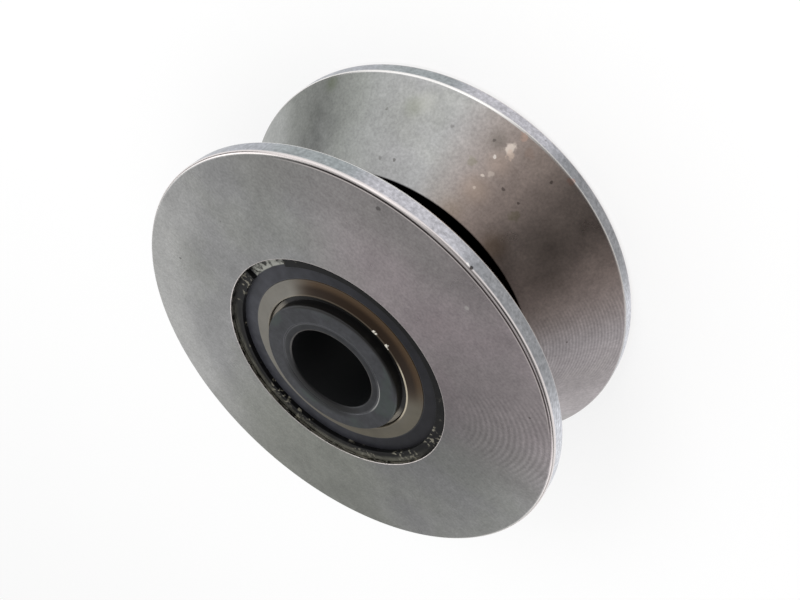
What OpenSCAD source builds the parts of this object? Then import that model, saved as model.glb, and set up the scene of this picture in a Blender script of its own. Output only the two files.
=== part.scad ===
// V-groove track roller: a turned steel wheel that runs on two tapered roller bearings
// round a bored hub. The spin axis is Z, the origin is the middle of the wheel, and the
// roller stands on the rear end of its hub.

/* [Wheel] */
// Outer diameter over the two rims
wheel_d = 109.5; // [104:0.25:120]
// Width between the two machined faces
wheel_w = 44.45; // [43:0.25:50]
// Width of the flat land on each rim
rim_land = 4.1; // [2.5:0.1:6]
// Included angle of the V track
groove_angle = 90; // [86:1:100]
// Width of the relief slot at the root of the V
relief_w = 3.2; // [2:0.1:5]
// Depth of the relief slot below the flanks
relief_depth = 2.6; // [1.5:0.1:3]
// Radius on the outer corner of each rim
rim_round = 0.8; // [0.3:0.1:1.2]
// Edge break where the land meets the flank
flank_break = 0.2; // [0.1:0.05:0.5]
// Chamfer at the mouth of each bearing seat
seat_chamfer = 0.1; // [0.05:0.05:0.6]
// Width of the rib that parts the two bearing seats
rib_w = 4.25; // [3.5:0.25:5]
// Height of that rib above the seats
rib_h = 3; // [2:0.25:3.5]

/* [Tapered bearings] */
// Bore of the cones
cone_bore = 31.75; // [31:0.25:33]
// Outer diameter of the cups
cup_d = 59.13; // [58.5:0.01:60.5]
// Running gap between the back of a cone and the foot of the seal ring
cone_gap = 0.225; // [0.15:0.025:0.6]
// How far a cone reaches past the back of its cup, towards the other cone
cone_reach = 0.875; // [0.5:0.025:1.2]
// Width of a cup
cup_w = 11.8; // [11.5:0.1:12.5]
// Rollers in one row
roller_count = 18; // [14:1:18]
// Diameter of a roller at half its length
roller_d = 6.1; // [5.6:0.05:6.3]
// Length of a roller
roller_len = 11.2; // [10.6:0.1:11.4]
// Chamfer on the ends of a roller
roller_chamfer = 0.3; // [0.15:0.05:0.5]
// Angle between a roller's axis and the wheel's
roller_angle = 13.25; // [12:0.25:14]
// Middle of the rollers, from the back face of the cup
roller_mid = 6.6; // [6.4:0.1:6.8]
// Gap between a roller and each race
race_gap = 0.1; // [0.05:0.01:0.15]
// Gap between a roller's ends and the ribs of the cone
roller_end_gap = 0.2; // [0.1:0.05:0.3]
// Height of the cone's large rib above its race
large_rib_h = 1.4; // [1:0.1:1.6]
// Height of the cone's small rib above its race
small_rib_h = 0.9; // [0.6:0.1:1.1]
// Corner chamfer of cups and cones
race_chamfer = 0.7; // [0.4:0.1:1]

/* [Roller cages] */
// Sheet thickness of a cage
cage_t = 1; // [0.8:0.1:1.2]
// Height of the cage above the roller axes
cage_lift = 1.2; // [1.1:0.1:1.3]
// Gap between a roller and its pocket
pocket_gap = 0.2; // [0.15:0.05:0.3]
// Width of the cage's rim past each end of the pockets
cage_rim = 1.6; // [1.3:0.1:1.8]
// Gap between the flange at the cage's small end and the cone's small rib
cage_flange_gap = 1.02; // [0.5:0.02:1.5]

/* [Hub] */
// Bore for the axle bolt
axle_bore = 22.225; // [18:0.125:23]
// How far each end of the hub stands proud of the wheel's face
hub_proud = 0.635; // [0.25:0.005:1.5]
// Outer diameter of the sleeve where it passes through the end plates
sleeve_end_d = 26.4; // [25:0.1:28]
// Outer diameter of an end plate where it shows
plate_d = 35.75; // [34:0.25:36.5]
// How far the end plate's foot, which runs inside the seal, reaches out past it
foot_step = 1.025; // [0.8:0.025:1.3]
// How far the foot lies below the seal's lip
foot_depth = 0.635; // [0.3:0.005:1]
// Edge break on the end plates' rims and at the mouths of the axle bore
hub_chamfer = 0.25; // [0.1:0.05:0.4]
// Edge break on both sides of the joint between a sleeve's end and its end plate
joint_break = 0.12; // [0.05:0.01:0.3]
// Wall of the spacer between the cones
spacer_wall = 2.625; // [1.5:0.125:3]

/* [Seals and retaining rings] */
// How deep a retaining ring lies below the wheel's face
ring_recess = 1.1; // [0.8:0.1:1.4]
// Thickness of a retaining ring
ring_t = 1.2; // [1:0.05:1.5]
// Width of a retaining ring from its inner to its outer edge
ring_w = 3.615; // [3:0.005:5]
// How far a retaining ring reaches into its groove
ring_grip = 0.95; // [0.6:0.05:1.2]
// Angle of the gap in a retaining ring
ring_gap_angle = 27; // [10:1:40]
// Direction of the gap in the front ring
ring_gap_at = 339; // [0:1:359]
// Sheet thickness of a seal case
case_t = 1.2; // [0.9:0.1:1.4]
// Outer radius of the bend in a seal case
case_bend = 0.6; // [0.3:0.05:0.8]
// Width of a seal ring between its lip and the opening in its case
seal_w = 3.925; // [3.5:0.025:4.5]
// Running gap between the lip and the end plate's foot
lip_gap = 0.25; // [0.2:0.05:0.5]
// How far a seal ring's outer edge stands above its case
seal_proud = 0.18; // [0.1:0.02:0.4]
// How far the lip stands above the case
lip_proud = 0.96; // [0.7:0.02:1.1]
// Width of the seal ring's flat margin beside the case
seal_margin = 0.7; // [0.3:0.05:1.2]
// Width of the flat on top of the lip
lip_flat = 0.2; // [0.1:0.05:0.4]
// Width of the seal ring's foot under the case
seal_foot = 2; // [1.4:0.1:2.4]
// Thickness of the seal ring's foot under the case
seal_foot_t = 0.5; // [0.3:0.05:0.6]
// Gap round a retaining ring in its groove
groove_gap = 0.05; // [0.02:0.01:0.1]

/* [Hidden] */
$fn = 96;
sides = ["front", "rear"];
fixed_parts = ["end_plate", "cone"];
turning_parts = ["retaining_ring", "seal_case", "seal_ring", "cup", "cage"];
function roller_name(side, i) = str(side, "_roller_", i < 10 ? "0" : "", i);
eps = 0.01;
sweep_steps = 10;

// Steps along the front half of the axis, from the middle of the wheel outwards
face_z = wheel_w / 2;
cup_back_z = rib_w / 2;
cup_front_z = cup_back_z + cup_w;
cone_front_z = cup_back_z - cone_reach;
ring_z = face_z - ring_recess - ring_t;
case_z = ring_z - case_t;
cone_back_z = case_z - seal_foot_t - cone_gap;
hub_end_z = face_z + hub_proud;
lip_z = ring_z + lip_proud;

// Radii
wheel_r = wheel_d / 2;
seat_r = cup_d / 2;
groove_depth = (face_z - rim_land - relief_w / 2) / tan(groove_angle / 2);
relief_r = wheel_r - groove_depth - relief_depth;
ring_r = seat_r + ring_grip;
plate_foot_r = plate_d / 2 + foot_step;
lip_r = plate_foot_r + lip_gap;
case_r = lip_r + seal_w;

// Every roller's axis and both races meet at one apex on the wheel's axis. A place in the
// bearing is given as s, the distance from the apex along a roller's axis, and d, the height
// above that axis.
pitch_r = (cone_bore + cup_d) / 4;
s_mid = pitch_r / sin(roller_angle);
s_small = s_mid - roller_len / 2;
s_large = s_mid + roller_len / 2;
apex_z = cup_back_z + roller_mid - s_mid * cos(roller_angle);
taper = atan(roller_d / 2 / s_mid);
cup_angle = roller_angle + taper;
function roller_r(s) = s * tan(taper);
function spot(s, d) = [
    s * sin(roller_angle) + d * cos(roller_angle),
    apex_z + s * cos(roller_angle) - d * sin(roller_angle)
];
function cup_race_r(z) =
    (z - apex_z + race_gap * sin(roller_angle)) * tan(cup_angle) + race_gap * cos(roller_angle);
function cone_race(s) = -roller_r(s) - race_gap;
s_top = s_large + roller_end_gap;
s_low = s_small - roller_end_gap;
large_rib = spot(s_top, cone_race(s_top) + large_rib_h);
small_rib = spot(s_low, cone_race(s_low) + small_rib_h);

// Draws the front piece, or its mirror image at the rear
module on_side(side) {
    mirror([0, 0, side == "rear" ? 1 : 0]) children();
}

// Turns a section, with its radius along X and its height along Y, round the axis
module turned() {
    rotate_extrude() children();
}

// The points of a section's front half, and then their mirror images
function both_halves(points) = concat(
    points,
    [for (i = [len(points) - 1 : -1 : 0]) [points[i][0], -points[i][1]]]
);

// The metal outside a rounded corner at [r, z] that points to +X and +Y
module corner_off(r, z, radius) {
    translate([r - radius, z - radius])
        difference() {
            square(radius + eps);
            circle(radius);
        }
}

// Section of one half of the wheel, from its middle plane to the front face
module wheel_half() {
    difference() {
        translate([seat_r - rib_h, 0]) square([wheel_r - seat_r + rib_h, face_z]);
        // bearing seat and its mouth
        translate([0, cup_back_z]) square([seat_r, wheel_w]);
        polygon([
            [seat_r - eps, face_z - seat_chamfer - eps],
            [seat_r + seat_chamfer + eps, face_z + eps],
            [seat_r - eps, face_z + eps]
        ]);
        // groove of the retaining ring
        translate([0, ring_z - groove_gap]) square([ring_r + groove_gap, ring_t + 2 * groove_gap]);
        // V flank, its broken edge and the relief slot
        polygon([
            [wheel_r - groove_depth, relief_w / 2],
            [wheel_r, face_z - rim_land],
            [wheel_r + rim_land, face_z - rim_land],
            [wheel_r + rim_land, -eps],
            [wheel_r - groove_depth, -eps]
        ]);
        polygon([
            [wheel_r - flank_break / tan(groove_angle / 2), face_z - rim_land - flank_break],
            [wheel_r + eps, face_z - rim_land + flank_break],
            [wheel_r + eps, face_z - rim_land - flank_break]
        ]);
        translate([relief_r, -eps]) square([groove_depth + relief_depth, relief_w / 2 + eps]);
        corner_off(wheel_r, face_z, rim_round);
    }
}

// Rim, V track, relief slot and both bearing seats, turned from one steel blank
module wheel() {
    color("#8f8f90")
        turned() {
            wheel_half();
            mirror([0, 1]) wheel_half();
        }
}

// Bored sleeve that carries both cones; its turned-down ends pass through the end plates
module inner_sleeve() {
    color("#5e6166")
        turned()
            polygon(both_halves([
                [cone_bore / 2, cone_back_z],
                [sleeve_end_d / 2, cone_back_z],
                [sleeve_end_d / 2, hub_end_z - joint_break],
                [sleeve_end_d / 2 - joint_break, hub_end_z],
                [axle_bore / 2 + hub_chamfer, hub_end_z],
                [axle_bore / 2, hub_end_z - hub_chamfer]
            ]));
}

// Ring on the sleeve that keeps the two cones apart
module cone_spacer() {
    color("#8b8d90")
        turned()
            translate([cone_bore / 2, -cone_front_z])
                square([spacer_wall, 2 * cone_front_z]);
}

// Stepped ring pressed on the sleeve's end, against the back of the cone
module end_plate() {
    foot_z = lip_z - foot_depth;
    color("#4d4f59")
        turned()
            polygon([
                [sleeve_end_d / 2, cone_back_z],
                [plate_foot_r, cone_back_z],
                [plate_foot_r, foot_z],
                [plate_d / 2, foot_z],
                [plate_d / 2, hub_end_z - hub_chamfer],
                [plate_d / 2 - hub_chamfer, hub_end_z],
                [sleeve_end_d / 2 + joint_break, hub_end_z],
                [sleeve_end_d / 2, hub_end_z - joint_break]
            ]);
}

// Inner ring of a tapered bearing, with a rib at each end of its race
module cone() {
    color("#a3a5a8")
        turned()
            polygon([
                [cone_bore / 2, cone_front_z],
                [small_rib[0], cone_front_z],
                small_rib,
                spot(s_low, cone_race(s_low)),
                spot(s_top, cone_race(s_top)),
                large_rib,
                [large_rib[0], cone_back_z],
                [cone_bore / 2 + race_chamfer, cone_back_z],
                [cone_bore / 2, cone_back_z - race_chamfer]
            ]);
}

// Outer ring of a tapered bearing, pressed in its seat against the rib
module cup() {
    color("#a3a5a8")
        turned()
            polygon([
                [cup_race_r(cup_back_z), cup_back_z],
                [seat_r - race_chamfer, cup_back_z],
                [seat_r, cup_back_z + race_chamfer],
                [seat_r, cup_front_z],
                [cup_race_r(cup_front_z), cup_front_z]
            ]);
}

// Moves a child, drawn along Z from the apex, on to the axis of roller i
module on_roller_axis(i) {
    rotate([0, 0, (i - 1) * 360 / roller_count])
        translate([0, 0, apex_z])
            rotate([0, roller_angle, 0])
                children();
}

// One tapered roller
module roller(i) {
    r_small = roller_r(s_small);
    r_large = roller_r(s_large);
    color("#c2c4c7")
        on_roller_axis(i)
            turned()
                polygon([
                    [0, s_small],
                    [r_small - roller_chamfer, s_small],
                    [r_small, s_small + roller_chamfer],
                    [r_large, s_large - roller_chamfer],
                    [r_large - roller_chamfer, s_large],
                    [0, s_large]
                ]);
}

// Half the width of a cage pocket at s, clear of the roller at the cage's inner side
function pocket_half(s) = sqrt(pow(roller_r(s), 2) - pow(cage_lift, 2)) + pocket_gap;

// Pressed steel cage: a conical band with a flange, and a pocket for each roller
module cage() {
    s_from = s_small - pocket_gap;
    s_to = s_large + pocket_gap;
    s_end = s_to + cage_rim;
    flange_z = spot(s_from - cage_rim, 0)[1];
    flange_r = small_rib[0] + cage_flange_gap;
    band_top = cage_lift + cage_t;
    // the place on the band at height d whose z is given
    function band_at(z, d) = spot((z - apex_z + d * sin(roller_angle)) / cos(roller_angle), d);
    color("#7d7f82")
        difference() {
            turned()
                polygon([
                    [flange_r, flange_z],
                    [flange_r, flange_z + cage_t],
                    band_at(flange_z + cage_t, cage_lift),
                    spot(s_end, cage_lift),
                    spot(s_end, band_top),
                    band_at(flange_z, band_top)
                ]);
            for (i = [1 : roller_count])
                on_roller_axis(i)
                    rotate([90, 0, 90])
                        translate([0, 0, cage_lift / 2])
                            linear_extrude(band_top)
                                polygon([
                                    [-pocket_half(s_from), s_from],
                                    [pocket_half(s_from), s_from],
                                    [pocket_half(s_to), s_to],
                                    [-pocket_half(s_to), s_to]
                                ]);
        }
}

// Folded sheet ring that fills the seat's mouth and bears on the cup
module seal_case() {
    color("#50535c")
        turned()
            difference() {
                union() {
                    translate([case_r, case_z]) square([seat_r - case_r, case_t]);
                    translate([seat_r - case_t, cup_front_z])
                        square([case_t, case_z - cup_front_z + eps]);
                }
                corner_off(seat_r, ring_z, case_bend);
            }
}

// Moulded seal ring, held in the case by its foot; its top sweeps up to a lip round the hub
module seal_ring() {
    foot_z = case_z - seal_foot_t;
    top_z = ring_z + seal_proud;
    sweep_from = case_r - seal_margin;
    sweep_to = lip_r + lip_flat;
    color("#9c9083")
        turned()
            polygon([
                [lip_r, foot_z],
                [case_r + seal_foot, foot_z],
                [case_r + seal_foot, case_z],
                [case_r, case_z],
                [case_r, top_z],
                for (u = [0 : 1 / sweep_steps : 1]) [
                    sweep_from + (sweep_to - sweep_from) * u,
                    top_z + (lip_z - top_z) * pow(u, 2)
                ],
                [lip_r, lip_z]
            ]);
}

// Flat snap ring in the wheel's groove, which holds the seal case and the cup in their seat
module retaining_ring(gap_at) {
    color("#232427")
        rotate([0, 0, gap_at + ring_gap_angle / 2])
            rotate_extrude(angle = 360 - ring_gap_angle)
                translate([ring_r - ring_w, ring_z])
                    square([ring_w, ring_t]);
}

wheel();
inner_sleeve();
cone_spacer();
for (side = sides) {
    on_side(side) end_plate();
    on_side(side) cone();
    on_side(side) cup();
    on_side(side) cage();
    on_side(side) seal_case();
    on_side(side) seal_ring();
    on_side(side) retaining_ring(side == "front" ? ring_gap_at : ring_gap_at + 180);
    for (i = [1 : roller_count])
        on_side(side) roller(i);
}
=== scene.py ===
# V-groove track roller, dressed: a turned steel wheel on two tapered roller bearings, with its
# seals, retaining rings and bored hub. Everything is in metres, in the part's own frame.
import bmesh
import bpy
from math import cos, radians, sin, sqrt, tau
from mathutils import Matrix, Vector


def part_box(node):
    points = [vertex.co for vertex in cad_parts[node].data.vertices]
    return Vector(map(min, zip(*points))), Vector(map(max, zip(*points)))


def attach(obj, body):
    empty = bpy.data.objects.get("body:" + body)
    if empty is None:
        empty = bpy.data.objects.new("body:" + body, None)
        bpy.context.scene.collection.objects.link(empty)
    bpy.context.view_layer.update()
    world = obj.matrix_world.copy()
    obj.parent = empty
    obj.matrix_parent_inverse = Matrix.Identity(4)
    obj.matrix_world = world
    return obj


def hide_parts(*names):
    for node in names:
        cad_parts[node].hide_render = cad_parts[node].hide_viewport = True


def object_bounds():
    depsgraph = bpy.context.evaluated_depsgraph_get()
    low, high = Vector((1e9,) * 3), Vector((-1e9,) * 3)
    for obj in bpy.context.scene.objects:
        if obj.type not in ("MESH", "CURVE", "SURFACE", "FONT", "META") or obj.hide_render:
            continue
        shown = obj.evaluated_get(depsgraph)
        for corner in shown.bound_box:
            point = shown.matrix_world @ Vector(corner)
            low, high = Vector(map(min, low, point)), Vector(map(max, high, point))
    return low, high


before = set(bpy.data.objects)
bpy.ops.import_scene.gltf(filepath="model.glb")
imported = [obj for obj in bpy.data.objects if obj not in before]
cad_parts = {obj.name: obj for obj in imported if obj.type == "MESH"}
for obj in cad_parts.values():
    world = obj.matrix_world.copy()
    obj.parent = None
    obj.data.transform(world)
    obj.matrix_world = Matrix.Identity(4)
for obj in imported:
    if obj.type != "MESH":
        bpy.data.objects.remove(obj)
cad_low, cad_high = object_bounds()

# ---------------------------------------------------------------------------------------------
# Studio. The roller stands on the rear end of its hub on a plain white floor, under a pale soft
# sky with a few brighter and darker parts for the metal to mirror, and two large soft lamps.
MM = 0.001
CAMERA_PLACE = (0.0, -0.1593, 0.1244)
CAMERA_TURN = (-41.8498, 31.5595, -149.3739)  # in degrees, round X, Y and Z
LENS, SENSOR = 36.84, 36.0  # in millimetres
FLOOR_WIDTH, FLOOR_GAP = 6.0, 0.02 * MM
FLOOR_COLOUR = "#f9f9f9"
FLOOR_GLOW = 0.62  # share of the floor that shines by itself, so its shadow stays faint
GLOW_STRENGTH = 1.06
SKY_ON_MATT = 0.78  # how strongly the sky lights matt surfaces
SKY_ON_METAL = 0.48  # how bright metal sees the sky between its parts
SKY_DARKEST = 0.02
PART_HALF, PART_EDGE = 4, 24  # half width and soft edge of each part, in degrees
SKY_PARTS = {  # turn and rise in degrees, brightness added
    "window": ((36, 33), 1.30),
    "window's side": ((12, 33), 0.51),
    "second window": ((132, 33), 1.30),
    "second window's side": ((84, 33), 0.39),
    "pale wall": ((-60, 33), 0.52),
    "pale wall's side": ((-36, 33), 0.40),
    "pale wall's foot": ((-60, 5), 0.63),
    "pale side": ((-20, 5), 0.68),
    "pale end": ((180, 5), 0.51),
    "dark doorway": ((-84, 33), -0.17),
    "dark curtain": ((-132, 33), -0.46),
    "dim corner": ((180, 33), -0.44),
    "dim wall": ((108, 33), -0.54),
    "dim side": ((20, 5), -0.42),
    "dark ceiling": ((60, 62), -0.45),
}
LAMPS = {  # place, width in metres, power in watts
    "key_lamp": ((0.40, -0.40, 0.47), 0.30, 1.2),
    "side_lamp": ((-0.30, -0.46, 0.62), 0.40, 0.8),
}


def linear(code):
    """Linear RGBA of an sRGB hex colour."""
    parts = [int(code[i:i + 2], 16) / 255 for i in (1, 3, 5)]
    return (*[c / 12.92 if c <= 0.04045 else ((c + 0.055) / 1.055) ** 2.4 for c in parts], 1.0)


def add(tree, kind, inputs=None, **settings):
    """Adds a node, sets it, and feeds its inputs with values, sockets or whole nodes."""
    new = tree.nodes.new("ShaderNode" + kind)
    for name, value in settings.items():
        setattr(new, name, value)
    for place, value in (inputs or {}).items():
        if isinstance(value, bpy.types.Node):
            value = next(out for out in value.outputs if out.enabled)
        if isinstance(value, bpy.types.NodeSocket):
            tree.links.new(value, new.inputs[place])
        else:
            new.inputs[place].default_value = value
    return new


camera = bpy.data.objects.new("camera", bpy.data.cameras.new("camera"))
bpy.context.scene.collection.objects.link(camera)
camera.location = CAMERA_PLACE
camera.rotation_euler = [radians(turn) for turn in CAMERA_TURN]
camera.data.lens, camera.data.sensor_width = LENS, SENSOR
camera.data.clip_start, camera.data.clip_end = 0.01, 20.0
bpy.context.scene.camera = camera
bpy.context.scene.view_settings.view_transform = "Standard"

for name, (place, width, power) in LAMPS.items():
    lamp = bpy.data.lights.new(name, "AREA")
    lamp.size, lamp.energy = width, power
    holder = bpy.data.objects.new(name, lamp)
    bpy.context.scene.collection.objects.link(holder)
    holder.location = place
    holder.rotation_euler = holder.location.to_track_quat("Z", "Y").to_euler()
    holder.visible_glossy = False  # metal mirrors the sky and its parts alone

bpy.ops.object.select_all(action="DESELECT")
bpy.ops.mesh.primitive_plane_add(size=FLOOR_WIDTH, location=(0, 0, cad_low[2] - FLOOR_GAP))
floor = bpy.context.object
floor.name = "floor"
paper = bpy.data.materials.new("white_paper")
paper.use_nodes = True
tree = paper.node_tree
tree.nodes.clear()
matt = add(tree, "BsdfDiffuse", {"Color": linear(FLOOR_COLOUR)})
glow = add(tree, "Emission", {"Color": (1, 1, 1, 1), "Strength": GLOW_STRENGTH})
mixed = add(tree, "MixShader", {0: FLOOR_GLOW, 1: matt, 2: glow})
add(tree, "OutputMaterial", {"Surface": mixed})
floor.data.materials.append(paper)

world = bpy.data.worlds.new("sky")
bpy.context.scene.world = world
world.use_nodes = True
tree = world.node_tree
tree.nodes.clear()
# The camera sees plain white, matt surfaces an even sky, and metal the sky with its parts
rays = add(tree, "LightPath")
direction = add(tree, "TexCoord").outputs["Generated"]
mirrored = SKY_ON_METAL
for (turn, rise), more in SKY_PARTS.values():
    turn, rise = radians(turn), radians(rise)
    middle = (cos(turn) * cos(rise), sin(turn) * cos(rise), sin(rise))
    near = add(tree, "VectorMath", {0: direction, 1: middle}, operation="DOT_PRODUCT")
    part = add(tree, "MapRange", {
        "Value": near.outputs["Value"], "From Min": cos(radians(PART_HALF + PART_EDGE)),
        "From Max": cos(radians(PART_HALF)), "To Min": 0.0, "To Max": more,
    }, interpolation_type="SMOOTHSTEP")
    mirrored = add(tree, "Math", {0: mirrored, 1: part}, operation="ADD")
mirrored = add(tree, "Math", {0: mirrored, 1: SKY_DARKEST}, operation="MAXIMUM")
seen = add(tree, "Math", {0: rays.outputs["Is Camera Ray"],
                          1: rays.outputs["Is Transmission Ray"]}, operation="MAXIMUM")
on_metal = add(tree, "Mix", {0: rays.outputs["Is Glossy Ray"], 2: SKY_ON_MATT, 3: mirrored})
strength = add(tree, "Mix", {0: seen, 2: on_metal, 3: 1.0})
sky = add(tree, "Background", {"Color": (1, 1, 1, 1), "Strength": strength})
add(tree, "OutputWorld", {"Surface": sky})

# ---------------------------------------------------------------------------------------------
# Wheel. One piece of steel, turned all over: two rims, a V track with a relief slot at its root,
# and in each side a bearing seat whose mouth holds a retaining ring in a groove. It has run for
# a while: the V's edges are burnished, the rear flank is stained and marked, a rim is nicked.
# Highlights, reflections and shade are painted on its edges, rims, faces, flank, slot and seats.
wheel_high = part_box("wheel")[1]
cup_low, cup_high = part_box("front_cup")
ring_low, ring_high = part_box("front_retaining_ring")
WHEEL_R, FACE_Z = wheel_high[0], wheel_high[2]
SEAT_R, RIB_Z = cup_high[0], cup_low[2]
RIB_R = SEAT_R - 3 * MM  # the rib between the seats
RING_R = -ring_low[0]
GROOVE_GAP = 0.05 * MM
GROOVE_R = RING_R + GROOVE_GAP
RIM_LAND = 4.1 * MM
RIM_ROUND = 0.8 * MM
V_CHAMFER = 0.2 * MM
SLOT_HALF = 1.6 * MM
SLOT_DEPTH = 2.6 * MM
FLANK_FOOT_R = WHEEL_R - (FACE_Z - RIM_LAND - SLOT_HALF)
MOUTH_CHAMFER = 0.1 * MM
WHEEL_BREAK = 0.06 * MM
MICRON = 0.001 * MM
STEEL = "#a8a8a8"
STEEL_PINK = "#b1a6a9"
STEEL_GREEN = "#a7a9a1"
WARM_REFLECTION_BROWN = "#b6a197"
FACE_REFLECTION = "#c6c6c4"
FACE_DARKER = "#959391"
FLANK_GREEN = "#a4a9a3"
RIM_BLUE = "#a3a6ad"
RIM_REFLECTIONS = (  # direction, the angles from it that end and fill a stretch, colour
    (-142, 26, 6, "#cfd1d8"),
    (-112, 26, 5, "#8b8c8f"),
    (-80, 18, 4, "#bcbbc1"),
    (-57, 15, 4, "#999fa1"),
)
BURNISH_AND_HIGHLIGHT = "#eceae8"
ROUNDED_EDGE_HIGHLIGHT = "#e9e1df"
MOUTH_HIGHLIGHT = "#f0e8e6"
EDGE_DARK_REFLECTION = "#332b29"
EDGE_BRIGHT_REFLECTION = "#efe6e3"
PIT_BROWN = "#4a4441"
SLOT_SHADE = "#15110f"
SEAT_METAL = "#c9c5bc"
SEAT_OIL = "#4a4845"
SEAT_GLINT = "#fbfaf4"
TOOL_MARKS = 0.3  # millimetres between tool marks, coarser than the real ones so that they show
ARC_MARKS = 0.4  # the same between the marks that stand in arcs
ARCS_AT, ARCS_LEAN = -144, 0.69  # where they stand in arcs, and how tight
SPOT, PATCH = 0.9, 3  # reach under which a mark is a small spot, and from which a soft patch
# Some marks on the rear flank are painted light: the small bright spots are painted highlights,
# with a painted glow and warm reflection round them, a painted dark reflected band, and painted
# shade at the root of the V
MARKS = {  # place and reach in millimetres, colour, share of that colour
    "green stain": ((25.5, -43.1, -13.5), 3.6, "#8e9180", 0.40),
    "green edge": ((45.1, -28.7, -16.8), 3.0, "#8a9478", 0.50),
    "pale patch": ((24.0, -45.3, -14.6), 3.4, "#bfbfb8", 0.40),
    "painted warm reflection below the spots": ((3.4, -43.0, -7.2), 5.0, "#c6ae9c", 0.40),
    "painted glow round the spots": ((3.4, -48.6, -12.0), 4.2, "#ceb6a4", 0.30),
    "dark blotch": ((6.7, -50.8, -14.7), 3.4, "#7a746c", 0.45),
    "painted dark reflection band": ((-15.2, -44.1, -10.1), 6.5, "#857870", 0.30),
    "painted dark reflection band's end": ((-20.6, -39.0, -7.5), 6.5, "#857870", 0.30),
    "painted shade at the root": ((-7.7, -38.6, -2.8), 5.0, "#80684e", 0.50),
    "painted shade at the root by the spots": ((4.0, -38.6, -2.4), 4.2, "#9c8468", 0.25),
    "painted highlight": ((3.8, -51.3, -14.8), 1.5, "#fff0e4", 0.90),
    "painted highlight's tail": ((2.9, -50.6, -14.2), 1.2, "#f3dccb", 0.60),
    "small spot": ((5.1, -48.8, -12.4), 0.5, "#fff6ee", 0.80),
    "middle painted highlight": ((3.2, -46.5, -10.1), 1.0, "#e6d8cd", 0.60),
    "two small painted highlights": ((4.4, -45.6, -9.2), 0.5, "#f6e9de", 0.80),
    "lowest painted highlight": ((4.0, -43.5, -7.1), 0.5, "#ecdccf", 0.70),
    "rust at the edge": ((3.4, -54.0, -17.5), 1.1, "#dcb9a6", 0.50),
    "pale rust below it": ((0.2, -52.9, -16.2), 1.3, "#b39c90", 0.45),
    "rust further down": ((-10.1, -53.6, -17.9), 1.0, "#b58d7e", 0.50),
    "pit in the flank": ((-0.9, -46.3, -9.7), 0.55, "#3a3434", 0.60),
    "pit by the green": ((29.8, -38.6, -12.1), 0.5, "#4a4842", 0.35),
    "pit by the edge": ((16.3, -46.8, -12.9), 0.5, "#47423f", 0.35),
    "pits by the root": ((23.5, -33.7, -4.4), 0.6, "#45413c", 0.35),
    "pit near them": ((20.8, -35.8, -4.7), 0.5, "#45413c", 0.55),
    "pit by the spots": ((7.5, -50.4, -14.3), 0.5, "#4a4442", 0.55),
    "pit in the dark": ((-7.3, -51.5, -15.4), 0.5, "#2c2827", 0.60),
    "pit below the spots": ((-5.2, -46.1, -9.8), 0.4, "#3a3434", 0.60),
    "green fleck": ((8.0, -45.8, -9.9), 1.3, "#8c8a70", 0.35),
    "green fleck in the dark": ((-6.4, -44.4, -8.2), 1.6, "#7c7850", 0.35),
    "fleck on the face": ((-10.7, -46.3, 22.2), 0.6, "#cfccc9", 0.70),
    "pit in the face": ((13.6, -49.8, 22.2), 0.55, "#4a4646", 0.65),
    "pit across the face": ((44.4, 9.7, 22.2), 0.5, "#4a4646", 0.55),
    "nick in the front edge": ((-6.1, -54.2, 21.45), 0.55, "#1e1a19", 0.90),
    "burr beside the nick": ((-5.2, -54.3, 21.5), 0.40, "#fbf7f4", 0.80),
}


def arc(r, z, radius, first, last, steps):
    """Points of a rounded corner about (r, z), between two directions in degrees."""
    turns = [radians(first + (last - first) * i / steps) for i in range(steps + 1)]
    return [(r + radius * cos(turn), z + radius * sin(turn)) for turn in turns]


def turned(name, section, edge_break, start=0.0, sweep=tau, steps=256):
    """Turns a closed section of (radius, height) points round Z, and breaks its sharp edges."""
    bpy.ops.object.select_all(action="DESELECT")
    bpy.ops.mesh.primitive_plane_add(size=MM)
    piece = bpy.context.object
    piece.name = piece.data.name = name
    corners = [Vector((r * cos(start), r * sin(start), z)) for r, z in section]
    bpy.ops.object.mode_set(mode="EDIT")
    bpy.ops.mesh.select_mode(type="VERT")
    bpy.ops.mesh.merge(type="CENTER")
    bpy.ops.transform.translate(value=corners[0])
    for here, there in zip(corners, corners[1:]):
        bpy.ops.mesh.extrude_region_move(TRANSFORM_OT_translate={"value": there - here})
    outline = bmesh.from_edit_mesh(piece.data)
    for vert in outline.verts:
        vert.select = min((vert.co - end).length for end in (corners[0], corners[-1])) < MICRON
    outline.select_flush_mode()
    bmesh.update_edit_mesh(piece.data)
    bpy.ops.mesh.edge_face_add()
    bpy.ops.mesh.select_all(action="SELECT")
    bpy.ops.mesh.spin(steps=steps, angle=sweep, center=(0, 0, 0), axis=(0, 0, -1))
    bpy.ops.mesh.select_all(action="SELECT")
    bpy.ops.mesh.remove_doubles(threshold=MICRON)
    bpy.ops.mesh.fill_holes(sides=0)
    bpy.ops.mesh.select_all(action="SELECT")
    bpy.ops.mesh.normals_make_consistent(inside=False)
    bpy.ops.object.mode_set(mode="OBJECT")
    bpy.ops.object.shade_smooth()
    bevel = piece.modifiers.new("edge_break", "BEVEL")
    bevel.width, bevel.segments, bevel.angle_limit = edge_break, 3, radians(26)
    bpy.ops.object.modifier_apply(modifier=bevel.name)
    smooth = piece.modifiers.new("flat_faces", "WEIGHTED_NORMAL")
    smooth.weight = 100
    bpy.ops.object.modifier_apply(modifier=smooth.name)
    return piece


def finish_of(name, base, metallic, roughness):
    """A new material: its tree, its shader, and the place on the piece, in millimetres."""
    material = bpy.data.materials.new(name)
    material.use_nodes = True
    tree = material.node_tree
    shader = tree.nodes["Principled BSDF"]
    shader.inputs["Base Color"].default_value = linear(base)
    shader.inputs["Metallic"].default_value = metallic
    shader.inputs["Roughness"].default_value = roughness
    place = add(tree, "VectorMath", {0: add(tree, "TexCoord").outputs["Object"], "Scale": 1 / MM},
                operation="SCALE").outputs["Vector"]
    return material, tree, shader, place


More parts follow.
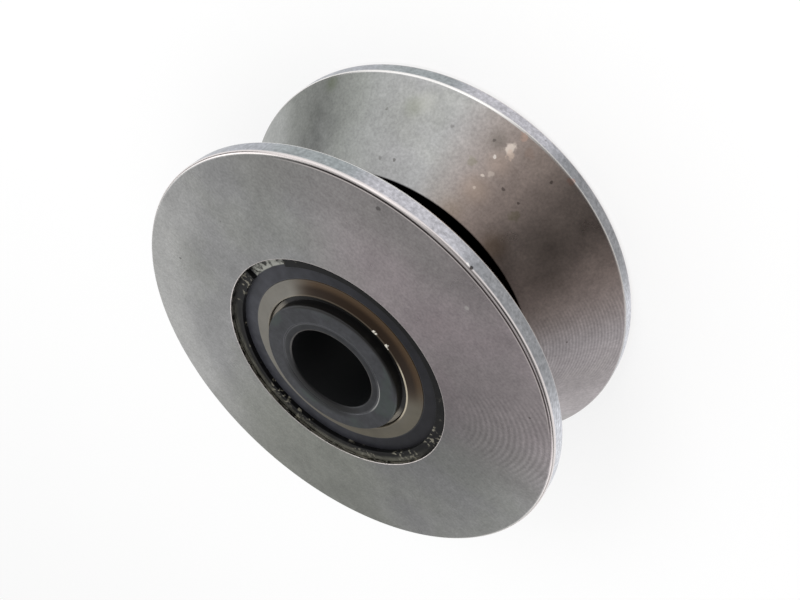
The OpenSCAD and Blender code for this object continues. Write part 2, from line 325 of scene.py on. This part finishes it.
def around(tree, place):
    """The radius and the height over the middle plane of a place on a turned piece."""
    across = add(tree, "VectorMath", {0: place, 1: (1, 1, 0)}, operation="MULTIPLY")
    radius = add(tree, "VectorMath", {0: across}, operation="LENGTH").outputs["Value"]
    height = add(tree, "Math", {0: add(tree, "SeparateXYZ", {0: place}).outputs["Z"]},
                 operation="ABSOLUTE").outputs[0]
    return across, radius, height


def between(tree, value, none, full):
    """0 where a value is at or past none, 1 where it is at or past full."""
    return add(tree, "MapRange", {"Value": value, "From Min": none, "From Max": full},
               interpolation_type="SMOOTHSTEP").outputs[0]


def side_of(tree, across, turn, none, full):
    """0 to 1 towards one direction round the axis, between two angles from it."""
    unit = add(tree, "VectorMath", {0: across}, operation="NORMALIZE")
    lean = add(tree, "VectorMath", {0: unit, 1: (cos(radians(turn)), sin(radians(turn)), 0)},
               operation="DOT_PRODUCT").outputs["Value"]
    return between(tree, lean, cos(radians(none)), cos(radians(full)))


def meet(tree, *shares):
    """The share where several shares meet: their product."""
    result = shares[0]
    for share in shares[1:]:
        result = add(tree, "Math", {0: result, 1: share}, operation="MULTIPLY").outputs[0]
    return result


def tinted(tree, share, under, over):
    """A colour laid over another by a share of 0 to 1."""
    return add(tree, "Mix", {0: share, 6: under, 7: over}, data_type="RGBA").outputs[2]


def wavered(tree, place, size, reach):
    """A place moved about by at most a reach, in waves of about a size, in millimetres."""
    waves = add(tree, "TexNoise", {"Vector": place, "Scale": 1 / size, "Detail": 3.0})
    swing = add(tree, "VectorMath", {0: waves.outputs["Color"], 1: (0.5, 0.5, 0.5)},
                operation="SUBTRACT")
    return add(tree, "VectorMath", {0: swing, 1: (2 * reach, 2 * reach, 2 * reach), 2: place},
               operation="MULTIPLY_ADD")


def blot(tree, place, middle, reach, core):
    """1 within a core round a middle, fading to 0 at a reach from it, in millimetres."""
    away = add(tree, "VectorMath", {0: place, 1: middle}, operation="DISTANCE").outputs["Value"]
    return between(tree, away, reach, core)


def dappled(tree, colour, place, size, weaker, stronger, detail=4.0):
    """A colour made weaker and stronger in patches of about a size in millimetres."""
    patches = add(tree, "TexNoise", {"Vector": place, "Scale": 1 / size, "Detail": detail,
                                     "Roughness": 0.6})
    change = add(tree, "MapRange", {"Value": patches, "From Min": 0.33, "From Max": 0.67,
                                    "To Min": weaker, "To Max": stronger})
    return add(tree, "Mix", {0: 1.0, 6: colour, 7: change}, data_type="RGBA",
               blend_type="MULTIPLY").outputs[2]


def surfaced(tree, shader, colour, relief, strength, depth):
    """Gives a shader its colour, and a relief with a depth in millimetres."""
    tree.links.new(colour, shader.inputs["Base Color"])
    bump = add(tree, "Bump", {"Strength": strength, "Distance": depth * MM, "Height": relief})
    tree.links.new(bump.outputs[0], shader.inputs["Normal"])


half = [
    (RIB_R, RIB_Z),
    (SEAT_R, RIB_Z),
    (SEAT_R, ring_low[2] - GROOVE_GAP),
    (GROOVE_R, ring_low[2] - GROOVE_GAP),
    (GROOVE_R, ring_high[2] + GROOVE_GAP),
    (SEAT_R, ring_high[2] + GROOVE_GAP),
    (SEAT_R, FACE_Z - MOUTH_CHAMFER),
    (SEAT_R + MOUTH_CHAMFER, FACE_Z),
    *arc(WHEEL_R - RIM_ROUND, FACE_Z - RIM_ROUND, RIM_ROUND, 90, 0, 8),
    (WHEEL_R, FACE_Z - RIM_LAND + V_CHAMFER),
    (WHEEL_R - V_CHAMFER, FACE_Z - RIM_LAND - V_CHAMFER),
    (FLANK_FOOT_R, SLOT_HALF),
    (FLANK_FOOT_R - SLOT_DEPTH, SLOT_HALF),
]
wheel = turned("steel_wheel", half + [(r, -z) for r, z in reversed(half)], WHEEL_BREAK, steps=360)
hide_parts("wheel")
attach(wheel, "wheel")

# Turned and ground plain steel: satin, with its gloss drawn out across the cutter's path, so it
# mirrors the room as broad fans; stains, tool marks and small marks of wear break it up, and
# highlights, reflections and shade are painted on it in places
steel, tree, shader, place = finish_of("turned_plain_steel", STEEL, 1.0, 0.30)
wheel.data.materials.append(steel)
shader.inputs["Anisotropic"].default_value = 0.55
tangent = add(tree, "Tangent", direction_type="RADIAL", axis="Z")
tree.links.new(tangent.outputs[0], shader.inputs["Tangent"])
across, radius, height = around(tree, place)
rim_r, seat_r, foot_r = WHEEL_R / MM, SEAT_R / MM, FLANK_FOOT_R / MM
face_z, edge_z, slot_z = FACE_Z / MM, (FACE_Z - RIM_LAND) / MM, SLOT_HALF / MM
drift = add(tree, "TexNoise", {"Vector": place, "Scale": 1 / 20, "Detail": 3.0})
shade = tinted(tree, meet(tree, between(tree, drift, 0.42, 0.62), 0.35), linear(STEEL),
               linear(STEEL_GREEN))
# The faces are pinker on one side and greener on the other; their outer part has a painted
# reflection that brightens it in one place, and it is darker in another
on_face = between(tree, height, face_z - 0.725, face_z - 0.125)
fading = add(tree, "MapRange", {"Value": drift, "From Min": 0.35, "From Max": 0.6,
                                "To Min": 1.0, "To Max": 0.8})
shade = tinted(tree, meet(tree, on_face, side_of(tree, across, -108, 64, 12), fading), shade,
               linear(STEEL_PINK))
shade = tinted(tree, meet(tree, on_face, side_of(tree, across, 105, 45, 15), 0.8), shade,
               linear(STEEL_GREEN))
outer = meet(tree, on_face, between(tree, radius, 40, 50))
shade = tinted(tree, meet(tree, outer, side_of(tree, across, 33, 62, 20), 0.7), shade,
               linear(FACE_REFLECTION))
shade = tinted(tree, meet(tree, outer, side_of(tree, across, -70, 42, 15), 0.6), shade,
               linear(FACE_DARKER))
# The flanks go from green through brown to pink; the brown is a painted warm reflection
on_flank = between(tree, height, edge_z + 0.175, edge_z - 0.125)
shade = tinted(tree, meet(tree, on_flank, side_of(tree, across, -20, 40, 18), 0.4), shade,
               linear(FLANK_GREEN))
shade = tinted(tree, meet(tree, on_flank, side_of(tree, across, -150, 42, 25), 0.6), shade,
               linear(STEEL_PINK))
shade = tinted(tree, meet(tree, on_flank, side_of(tree, across, -106, 38, 10), 0.75), shade,
               linear(WARM_REFLECTION_BROWN))
# The rims are bluer, with painted reflections in brighter and duller stretches
rims = meet(tree, between(tree, radius, rim_r - 0.25, rim_r - 0.05),
            between(tree, height, edge_z + 0.175, edge_z + 0.375))
rim_shade = linear(RIM_BLUE)
for middle, none, full, colour in RIM_REFLECTIONS:
    rim_shade = tinted(tree, side_of(tree, across, middle, none, full), rim_shade,
                       linear(colour))
shade = tinted(tree, rims, shade, dappled(tree, rim_shade, place, 0.9, 0.82, 1.18, 2.0))
# All of it is mottled, in patches of three sizes
shade = dappled(tree, shade, place, 7, 0.94, 1.05)
shade = dappled(tree, shade, place, 2.2, 0.93, 1.07)
shade = dappled(tree, shade, place, 0.6, 0.89, 1.11, 2.0)
# Pits about half a millimetre wide, in one of ten cells of 5 mm
pits = add(tree, "TexVoronoi", {"Vector": place, "Scale": 1 / 5})
picks = add(tree, "SeparateColor", {0: pits.outputs["Color"]}).outputs["Red"]
pit = meet(tree, between(tree, picks, 0.88, 0.90),
           between(tree, pits.outputs["Distance"], 0.075, 0.035), 0.6)
shade = tinted(tree, pit, shade, linear(PIT_BROWN))
# The finishing cutter rang on one side only, and left its marks there in tight arcs. The path
# is measured along the section, so that it grows alike on a face and on a flank
path = add(tree, "Math", {0: height, 1: sqrt(2) - 1, 2: radius}, operation="MULTIPLY_ADD")
lean = add(tree, "VectorMath", {0: place, 1: (ARCS_LEAN * cos(radians(ARCS_AT)),
                                              ARCS_LEAN * sin(radians(ARCS_AT)), 0)},
           operation="DOT_PRODUCT").outputs["Value"]
turns = add(tree, "Math", {0: add(tree, "Math", {0: path, 1: lean}, operation="SUBTRACT"),
                           1: tau / ARC_MARKS}, operation="MULTIPLY")
ripple = add(tree, "Math", {0: turns}, operation="SINE")
arcs = meet(tree, ripple, side_of(tree, across, ARCS_AT, 17, 8), between(tree, radius, 29, 40))
lift = add(tree, "MapRange", {"Value": arcs, "From Min": -1.0, "From Max": 1.0,
                              "To Min": 0.89, "To Max": 1.11})
shade = add(tree, "Mix", {0: 1.0, 6: shade, 7: lift}, data_type="RGBA",
            blend_type="MULTIPLY").outputs[2]
# The V's edges are burnished, with a painted highlight strongest on one side, and the rounded
# edges and the mouths of the seats carry painted highlights
off_edge = add(tree, "Math", {0: height, 1: edge_z}, operation="SUBTRACT")
off_edge = add(tree, "Math", {0: off_edge}, operation="ABSOLUTE")
highlight_side = add(tree, "MapRange", {"Value": side_of(tree, across, -40, 62, 35), "To Min": 0.25})
edge = meet(tree, between(tree, radius, rim_r - 0.45, rim_r - 0.30),
            between(tree, off_edge, 0.34, 0.22), highlight_side)
shade = tinted(tree, edge, shade, linear(BURNISH_AND_HIGHLIGHT))
corner = meet(tree, between(tree, radius, rim_r - 0.60, rim_r - 0.35),
              between(tree, height, face_z - 0.925, face_z - 0.525), 0.85)
shade = tinted(tree, corner, shade, linear(ROUNDED_EDGE_HIGHLIGHT))
mouth = meet(tree, between(tree, radius, seat_r + 0.235, seat_r + 0.135),
             between(tree, height, face_z - 0.125, face_z - 0.065))
shade = tinted(tree, mouth, shade, linear(MOUTH_HIGHLIGHT))
# Painted reflections just inside the rounded edge on the near side: a dark line, and a bright
# line inside it
near_edge_reflection = meet(tree, side_of(tree, across, -95, 50, 32),
              between(tree, height, face_z - 0.325, face_z - 0.225))
line = meet(tree, between(tree, radius, rim_r - 0.95, rim_r - 0.87),
            between(tree, radius, rim_r - 0.55, rim_r - 0.63), near_edge_reflection, 0.9)
shade = tinted(tree, line, shade, linear(EDGE_DARK_REFLECTION))
line = meet(tree, between(tree, radius, rim_r - 1.23, rim_r - 1.15),
            between(tree, radius, rim_r - 0.95, rim_r - 1.00), near_edge_reflection, 0.7)
shade = tinted(tree, line, shade, linear(EDGE_BRIGHT_REFLECTION))
# The marks have irregular outlines, less so for a small spot, and a patch fades out softly
moved, nudged = wavered(tree, place, 1.3, 1.1), wavered(tree, place, 1.3, 0.5)
for middle, reach, colour, share in MARKS.values():
    seen_at = nudged if reach < SPOT else moved if reach < PATCH else place
    core = reach * (0.55 if reach < PATCH else 0.1)
    mark = meet(tree, blot(tree, seen_at, middle, reach, core), share)
    shade = tinted(tree, mark, shade, linear(colour))
# The slot is painted black as shade; the seats are streaked with oil over bare metal, with
# painted glints on the far side
slot = meet(tree, between(tree, radius, foot_r + 0.275, foot_r - 0.025),
            between(tree, height, slot_z + 0.50, slot_z + 0.06))
shade = tinted(tree, slot, shade, linear(SLOT_SHADE))
seat = meet(tree, between(tree, radius, seat_r + 0.335, seat_r + 0.035),
            between(tree, height, face_z - 0.025, face_z - 0.125))
streaks = add(tree, "Mapping", {"Vector": place, "Scale": (0.35, 0.35, 2.2)})
smeared = add(tree, "TexNoise", {"Vector": streaks, "Scale": 1 / 0.9, "Detail": 3.0})
grease = tinted(tree, between(tree, smeared, 0.46, 0.56), linear(SEAT_METAL), linear(SEAT_OIL))
glints = add(tree, "TexNoise", {"Vector": streaks, "Scale": 1 / 0.6, "Detail": 2.0})
glint = meet(tree, between(tree, glints, 0.60, 0.66), side_of(tree, across, 105, 75, 45))
grease = tinted(tree, glint, grease, linear(SEAT_GLINT))
shade = tinted(tree, seat, shade, grease)
# The burnished and rounded edges are smoother than the rest
wear = add(tree, "TexNoise", {"Vector": place, "Scale": 1 / 9, "Detail": 4.0})
rough = add(tree, "MapRange", {"Value": wear, "From Min": 0.3, "From Max": 0.7,
                               "To Min": 0.27, "To Max": 0.36})
smoother = add(tree, "Mix", {0: add(tree, "Math", {0: edge, 1: corner}, operation="MAXIMUM"),
                             2: rough, 3: 0.16})
tree.links.new(smoother.outputs[0], shader.inputs["Roughness"])
# Tool marks along the whole path, and the arcs where they stand
marks = add(tree, "TexNoise", {"W": path, "Scale": 1 / TOOL_MARKS, "Detail": 2.0},
            noise_dimensions="1D")
relief = add(tree, "Math", {0: meet(tree, arcs, 0.5), 1: marks}, operation="ADD")
surfaced(tree, shader, shade, relief, 0.3, 0.01)

# ---------------------------------------------------------------------------------------------
# Retaining rings. Flat snap rings of blackened spring steel, cut from sheet, each sprung into
# its groove with a gap between its ends, which shows bare metal beneath.
RING_GAP, RING_GAP_AT = 27, 339  # in degrees, its width and its middle on the front ring
RING_INNER_R = 26.9 * MM
RING_BREAK = 0.1 * MM
SPRING_BLACK = "#0b0b0c"
DIRT = "#8a8678"
GREASE_FILM = "#66655c"

# Heat-treated and blackened: almost black, a little oily, with bits of dirt stuck to it
black, tree, shader, place = finish_of("blackened_spring_steel", SPRING_BLACK, 0.0, 0.38)
shader.inputs["Specular IOR Level"].default_value = 0.22
across, radius, _ = around(tree, place)
shade = dappled(tree, linear(SPRING_BLACK), place, 2.5, 0.6, 1.6)
bits = add(tree, "TexNoise", {"Vector": place, "Scale": 1 / 1.1, "Detail": 3.0})
patch = add(tree, "TexNoise", {"Vector": place, "Scale": 1 / 6, "Detail": 1.0})
dirt = meet(tree, between(tree, bits, 0.56, 0.63), between(tree, patch, 0.50, 0.60),
            side_of(tree, across, 85, 140, 120), 0.75)
shade = tinted(tree, dirt, shade, linear(DIRT))
# A film of grease along the outer part of the far side, wiped into streaks round the ring
lines = add(tree, "CombineXYZ", {"X": add(tree, "Math", {0: radius, 1: 2.6},
                                          operation="MULTIPLY")})
streaked = add(tree, "TexNoise", {"Vector": add(tree, "VectorMath", {
    0: place, 1: (0.12, 0.12, 0.12), 2: lines}, operation="MULTIPLY_ADD"), "Detail": 2.0})
film = meet(tree, between(tree, streaked, 0.30, 0.62), between(tree, radius, 27.8, 28.9),
            side_of(tree, across, 100, 88, 50), 0.9)
shade = tinted(tree, film, shade, linear(GREASE_FILM))
surfaced(tree, shader, shade, bits, 0.5, 0.05)

section = [(RING_INNER_R, ring_low[2]), (RING_R, ring_low[2]),
           (RING_R, ring_high[2]), (RING_INNER_R, ring_high[2])]
for side, up, gap_at in (("front", 1, RING_GAP_AT), ("rear", -1, RING_GAP_AT + 180)):
    ring = turned(side + "_snap_ring", [(r, up * z) for r, z in section], RING_BREAK,
                  radians(gap_at + RING_GAP / 2), radians(360 - RING_GAP), 240)
    ring.data.materials.append(black)
    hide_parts(side + "_retaining_ring")
    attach(ring, "wheel")

# ---------------------------------------------------------------------------------------------
# Seal cases. Sheet steel pressed to an L-shaped ring and phosphated blue-grey; each fills the
# mouth of its seat and bears on the cup behind it.
case_low, case_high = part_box("front_seal_case")
CASE_T = 1.2 * MM
CASE_BEND = 0.6 * MM
CASE_INNER_R = 23.075 * MM
CASE_BREAK = 0.12 * MM
PHOSPHATE = "#1d1d22"
PHOSPHATE_LIT_SIDE = "#3c3d43"
GAP_METAL = "#a9aaa2"
GAP_DIRT = "#3a3a36"
CASE_RIM = "#6f7072"

# Phosphated sheet: dark blue-grey and dull, painted paler towards one side as reflected light;
# rubbed bare where the ring's gap leaves it open
sheet, tree, shader, place = finish_of("phosphated_sheet_steel", PHOSPHATE, 0.20, 0.46)
shader.inputs["Specular IOR Level"].default_value = 0.35
across, radius, _ = around(tree, place)
shade = tinted(tree, side_of(tree, across, 35, 150, 0), linear(PHOSPHATE),
               linear(PHOSPHATE_LIT_SIDE))
shade = dappled(tree, shade, place, 3.0, 0.8, 1.25)
rubs = add(tree, "TexNoise", {"Vector": place, "Scale": 1 / 1.6, "Detail": 3.0})
rubbed = tinted(tree, between(tree, rubs, 0.58, 0.42), linear(GAP_DIRT), linear(GAP_METAL))
gap_end, ring_r, rim_r = RING_GAP / 2 + 0.1, RING_INNER_R / MM, CASE_INNER_R / MM
in_gap = add(tree, "Math", {
    0: side_of(tree, across, RING_GAP_AT, gap_end, gap_end - 1),
    1: side_of(tree, across, RING_GAP_AT + 180, gap_end, gap_end - 1)}, operation="MAXIMUM")
bare = meet(tree, in_gap, between(tree, radius, ring_r, ring_r + 0.3))
shade = tinted(tree, bare, shade, rubbed)
rim = meet(tree, between(tree, radius, rim_r + 0.425, rim_r + 0.125), 0.2)
shade = tinted(tree, rim, shade, linear(CASE_RIM))
grain = add(tree, "TexNoise", {"Vector": place, "Scale": 1 / 0.35, "Detail": 2.0})
surfaced(tree, shader, shade, grain, 0.35, 0.02)

section = [(CASE_INNER_R, case_high[2] - CASE_T), (SEAT_R - CASE_T, case_high[2] - CASE_T),
           (SEAT_R - CASE_T, case_low[2]), (SEAT_R, case_low[2]),
           *arc(SEAT_R - CASE_BEND, case_high[2] - CASE_BEND, CASE_BEND, 0, 90, 5),
           (CASE_INNER_R, case_high[2])]
for side, up in (("front", 1), ("rear", -1)):
    case = turned(side + "_pressed_case", [(r, up * z) for r, z in section], CASE_BREAK)
    case.data.materials.append(sheet)
    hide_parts(side + "_seal_case")
    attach(case, "wheel")

# ---------------------------------------------------------------------------------------------
# Seal rings. Moulded from a tan rubber, each is held in its case by a foot and rises inwards to
# a lip that runs round the end plate with a little grease behind it.
seal_low, seal_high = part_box("front_seal_ring")
SEAL_R, SEAL_FOOT_Z, LIP_Z = seal_high[0], seal_low[2], seal_high[2]
SEAL_OUTER_Z = 20.105 * MM
SEAL_MARGIN = 0.7 * MM
SEAL_BREAK = 0.05 * MM
LIP_R = 19.15 * MM
LIP_FLAT = 0.2 * MM
SWEEP_STEPS = 10
TAN = "#5c574c"
TAN_LIT_SIDE = "#74716a"
SHADED_BROWN = "#43301a"
DEEP_SHADED_BROWN = "#221303"
LIP_PALE = "#9a907e"
LIP_HIGHLIGHT = "#bdb39f"
LIP_SHADE = "#0b0908"
CHIP = "#ddd8cc"
CHIPS = (  # place and reach in millimetres
    ((-5.2, -18.6, 20.8), 0.60),
    ((-1.1, -19.35, 20.8), 0.50),
    ((-1.9, -19.3, 20.8), 0.40),
    ((-6.0, -18.3, 20.8), 0.35),
)

# Moulded rubber: smooth and slightly glossy; painted paler towards one side as reflected light,
# and browner towards its lip on the near side as painted shade and reflection of the end plate
rubber, tree, shader, place = finish_of("tan_moulded_rubber", TAN, 0.0, 0.50)
shader.inputs["Specular IOR Level"].default_value = 0.30
across, radius, _ = around(tree, place)
shade = tinted(tree, side_of(tree, across, 10, 130, 30), linear(TAN), linear(TAN_LIT_SIDE))
shade = dappled(tree, shade, place, 5.0, 0.92, 1.07)
near_side = side_of(tree, across, -92, 68, 42)
shade = tinted(tree, meet(tree, between(tree, radius, 24.4, 22.6), near_side, 0.95), shade,
               linear(SHADED_BROWN))
shade = tinted(tree, meet(tree, between(tree, radius, 22.4, 20.8), near_side), shade,
               linear(DEEP_SHADED_BROWN))
# The lip is paler, with a painted highlight on one side, and dark where it meets the end plate
# on another
lip_r = LIP_R / MM
lip = between(tree, radius, lip_r + 0.45, lip_r + 0.30)
shade = tinted(tree, meet(tree, lip, 0.18), shade, linear(LIP_PALE))
shade = tinted(tree, meet(tree, lip, side_of(tree, across, -148, 32, 18)), shade,
               linear(LIP_HIGHLIGHT))
hidden = meet(tree, between(tree, radius, lip_r + 0.11, lip_r + 0.05),
              side_of(tree, across, -75, 55, 43))
shade = tinted(tree, hidden, shade, linear(LIP_SHADE))
# Bright chips on the lip, with ragged outlines
nudged = wavered(tree, place, 0.7, 0.6)
for middle, reach in CHIPS:
    shade = tinted(tree, blot(tree, nudged, middle, reach, reach / 2), shade, linear(CHIP))
skin = add(tree, "TexNoise", {"Vector": place, "Scale": 1 / 0.6, "Detail": 2.0})
surfaced(tree, shader, shade, skin, 0.25, 0.02)

# The outer face sweeps up to the lip along a parabola
sweep_from, sweep_to = CASE_INNER_R - SEAL_MARGIN, LIP_R + LIP_FLAT
section = [(LIP_R, SEAL_FOOT_Z), (SEAL_R, SEAL_FOOT_Z), (SEAL_R, case_high[2] - CASE_T),
           (CASE_INNER_R, case_high[2] - CASE_T), (CASE_INNER_R, SEAL_OUTER_Z),
           *[(sweep_from + (sweep_to - sweep_from) * step / SWEEP_STEPS,
              SEAL_OUTER_Z + (LIP_Z - SEAL_OUTER_Z) * (step / SWEEP_STEPS) ** 2)
             for step in range(SWEEP_STEPS + 1)],
           (LIP_R, LIP_Z)]
for side, up in (("front", 1), ("rear", -1)):
    seal = turned(side + "_moulded_seal", [(r, up * z) for r, z in section], SEAL_BREAK)
    seal.data.materials.append(rubber)
    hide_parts(side + "_seal_ring")
    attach(seal, "wheel")

# ---------------------------------------------------------------------------------------------
# End plates. Stepped rings of black-oxide steel, pressed on the ends of the sleeve against the
# cones. Their outer faces are left bare.
plate_low, plate_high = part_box("front_end_plate")
PLATE_FOOT_R, TOP_Z = plate_high[0], plate_high[2]
FOOT_Z = 20.25 * MM
PLATE_R = 17.875 * MM
SLEEVE_END_R = 13.2 * MM
HUB_CHAMFER = 0.25 * MM
JOINT_CHAMFER = 0.12 * MM
HUB_BREAK = 0.05 * MM
OXIDE = "#3a3b3f"
OXIDE_GREEN = "#3f4845"
JOINT_GREY = "#77787c"
JOINT_HIGHLIGHT = "#9a9a98"
OXIDE_FAR_DARK = "#131416"
GREASE_AND_SHADE_BLACK = "#0a0909"
DRY_GREASE = "#8b857a"

# Black oxide on ground steel: slate grey and dull, worn paler by the joint with a painted
# highlight along it on one side, and black with grease and painted shade round its wall
oxide, tree, shader, place = finish_of("black_oxide_steel", OXIDE, 0.35, 0.45)
across, radius, height = around(tree, place)
shade = dappled(tree, linear(OXIDE), place, 3.5, 0.8, 1.25)
shade = dappled(tree, shade, place, 0.9, 0.88, 1.12, 2.0)
hue = add(tree, "TexNoise", {"Vector": place, "Scale": 1 / 8, "Detail": 2.0})
shade = tinted(tree, meet(tree, between(tree, hue, 0.5, 0.65), 0.7), shade,
               linear(OXIDE_GREEN))
joint_r, plate_r, top_z = SLEEVE_END_R / MM, PLATE_R / MM, TOP_Z / MM
joint = meet(tree, between(tree, radius, joint_r + 0.40, joint_r + 0.15), 0.22)
shade = tinted(tree, joint, shade, linear(JOINT_GREY))
bright = meet(tree, between(tree, radius, joint_r + 0.40, joint_r + 0.25),
              side_of(tree, across, -160, 30, 12))
shade = tinted(tree, bright, shade, linear(JOINT_HIGHLIGHT))
# Darker round the joint towards the far side
far_dark = meet(tree, between(tree, radius, joint_r + 2.0, joint_r + 0.6),
            side_of(tree, across, 95, 60, 25), 0.85)
shade = tinted(tree, far_dark, shade, linear(OXIDE_FAR_DARK))
# Grease on the wall and the outer edge: black on the near side, where painted shade and dark
# reflection add to it, and dried pale on the far side
far_side = side_of(tree, across, 90, 107, 94)
smeared = tinted(tree, far_side, linear(GREASE_AND_SHADE_BLACK), linear(DRY_GREASE))
wall = add(tree, "Math", {0: between(tree, height, top_z - 0.26, top_z - 0.46),
                          1: between(tree, radius, plate_r - 0.025, plate_r + 0.075)},
           operation="MAXIMUM")
rim = meet(tree, between(tree, radius, plate_r - 0.925, plate_r - 0.375),
           side_of(tree, across, -85, 70, 44))
greased_and_shaded = add(tree, "Math", {0: wall, 1: rim}, operation="MAXIMUM")
shade = tinted(tree, greased_and_shaded, shade, smeared)
bare_metal = add(tree, "Mix", {0: greased_and_shaded, 2: 0.35, 3: 0.0})
tree.links.new(bare_metal.outputs[0], shader.inputs["Metallic"])
grain = add(tree, "TexNoise", {"Vector": place, "Scale": 1 / 0.4, "Detail": 2.0})
surfaced(tree, shader, shade, grain, 0.4, 0.02)

section = [(SLEEVE_END_R, plate_low[2]), (PLATE_FOOT_R, plate_low[2]), (PLATE_FOOT_R, FOOT_Z),
           (PLATE_R, FOOT_Z), (PLATE_R, TOP_Z - HUB_CHAMFER), (PLATE_R - HUB_CHAMFER, TOP_Z),
           (SLEEVE_END_R + JOINT_CHAMFER, TOP_Z), (SLEEVE_END_R, TOP_Z - JOINT_CHAMFER)]
for side, up in (("front", 1), ("rear", -1)):
    plate = turned(side + "_hub_plate", [(r, up * z) for r, z in section], HUB_BREAK)
    plate.data.materials.append(oxide)
    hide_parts(side + "_end_plate")
    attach(plate, "hub")

# ---------------------------------------------------------------------------------------------
# Inner sleeve. A bored steel tube with turned-down ends; it carries both cones and takes the
# axle bolt. Its ends lie flush with the end plates, and its bore is painted black as shade.
sleeve_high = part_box("inner_sleeve")[1]
SLEEVE_R, END_Z = sleeve_high[0], sleeve_high[2]
BORE_R = 11.1125 * MM
OILED = "#2c2d30"
SLEEVE_FAR_DARK = "#08080a"
BORE_MOUTH = "#6a6662"
BORE_SHADE = "#121314"

# Oiled steel: dark and smooth, bright only along the mouth of the bore, and painted black as
# shade inside it
oiled, tree, shader, place = finish_of("oiled_turned_steel", OILED, 0.45, 0.40)
across, radius, height = around(tree, place)
shade = dappled(tree, linear(OILED), place, 2.5, 0.8, 1.2)
shade = tinted(tree, meet(tree, between(tree, radius, joint_r - 0.5, joint_r - 0.2), 0.25),
               shade, linear(JOINT_GREY))
# Darker towards the far side
shade = tinted(tree, side_of(tree, across, 100, 66, 25), shade, linear(SLEEVE_FAR_DARK))
bore_r, end_z = BORE_R / MM, END_Z / MM
mouth = meet(tree, between(tree, radius, bore_r + 0.4875, bore_r + 0.3375),
             side_of(tree, across, -60, 120, 80), 0.4)
shade = tinted(tree, mouth, shade, linear(BORE_MOUTH))
bore = meet(tree, between(tree, radius, bore_r + 0.1375, bore_r + 0.0175),
            between(tree, height, end_z - 0.21, end_z - 0.31))
shade = tinted(tree, bore, shade, linear(BORE_SHADE))
bare_metal = add(tree, "Mix", {0: bore, 2: 0.45, 3: 0.0})
tree.links.new(bare_metal.outputs[0], shader.inputs["Metallic"])
grain = add(tree, "TexNoise", {"Vector": place, "Scale": 1 / 0.5, "Detail": 2.0})
surfaced(tree, shader, shade, grain, 0.3, 0.02)

half = [(SLEEVE_R, plate_low[2]), (SLEEVE_END_R, plate_low[2]),
        (SLEEVE_END_R, END_Z - JOINT_CHAMFER), (SLEEVE_END_R - JOINT_CHAMFER, END_Z),
        (BORE_R + HUB_CHAMFER, END_Z), (BORE_R, END_Z - HUB_CHAMFER)]
tube = turned("bored_sleeve", half + [(r, -z) for r, z in reversed(half)], HUB_BREAK)
tube.data.materials.append(oiled)
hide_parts("inner_sleeve")
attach(tube, "hub")

# ---------------------------------------------------------------------------------------------
# Cups, cones and rollers. Through-hardened bearing steel, ground and polished on their races
# and thinly greased. They keep their own solids, as they are hidden behind the seals.
GROUND = "#a3a5a8"
THICK_GREASE = "#8a7656"

# Ground and greased: bright, fine-grained, with a warm film where the grease lies thicker
ground, tree, shader, place = finish_of("ground_bearing_steel", GROUND, 1.0, 0.22)
shade = dappled(tree, linear(GROUND), place, 4.0, 0.9, 1.05)
film = add(tree, "TexNoise", {"Vector": place, "Scale": 1 / 3, "Detail": 3.0})
thick = meet(tree, between(tree, film, 0.45, 0.65), 0.45)
shade = tinted(tree, thick, shade, linear(THICK_GREASE))
tree.links.new(shade, shader.inputs["Base Color"])
rough = add(tree, "MapRange", {"Value": film, "From Min": 0.3, "From Max": 0.7,
                               "To Min": 0.16, "To Max": 0.34})
tree.links.new(rough.outputs[0], shader.inputs["Roughness"])
for name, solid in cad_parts.items():
    if name.endswith(("_cup", "_cone")) or "_roller_" in name:
        solid.data.materials.clear()
        solid.data.materials.append(ground)

# ---------------------------------------------------------------------------------------------
# Cages and spacer. The cages are pressed from mild steel sheet, pierced with a pocket for each
# roller; the spacer is a plain turned ring that keeps the cones apart.
PRESSED = "#7d7f82"
TURNED_GREY = "#8b8d90"

# Pressed sheet: matt and grey with a fine drawn grain
pressed, tree, shader, place = finish_of("pressed_cage_steel", PRESSED, 0.9, 0.38)
shade = dappled(tree, linear(PRESSED), place, 3.0, 0.85, 1.1)
grain = add(tree, "TexNoise", {"Vector": place, "Scale": 1 / 0.4, "Detail": 3.0})
surfaced(tree, shader, shade, grain, 0.4, 0.02)

# Turned ring: plain grey, with fine tool marks along its axis
spaced, tree, shader, place = finish_of("turned_spacer_steel", TURNED_GREY, 1.0, 0.33)
_, _, height = around(tree, place)
marks = add(tree, "TexNoise", {"W": height, "Scale": 1 / TOOL_MARKS, "Detail": 2.0},
            noise_dimensions="1D")
shade = dappled(tree, linear(TURNED_GREY), place, 3.0, 0.9, 1.05)
surfaced(tree, shader, shade, marks, 0.3, 0.01)

for name, finish in (("front_cage", pressed), ("rear_cage", pressed), ("cone_spacer", spaced)):
    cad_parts[name].data.materials.clear()
    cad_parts[name].data.materials.append(finish)
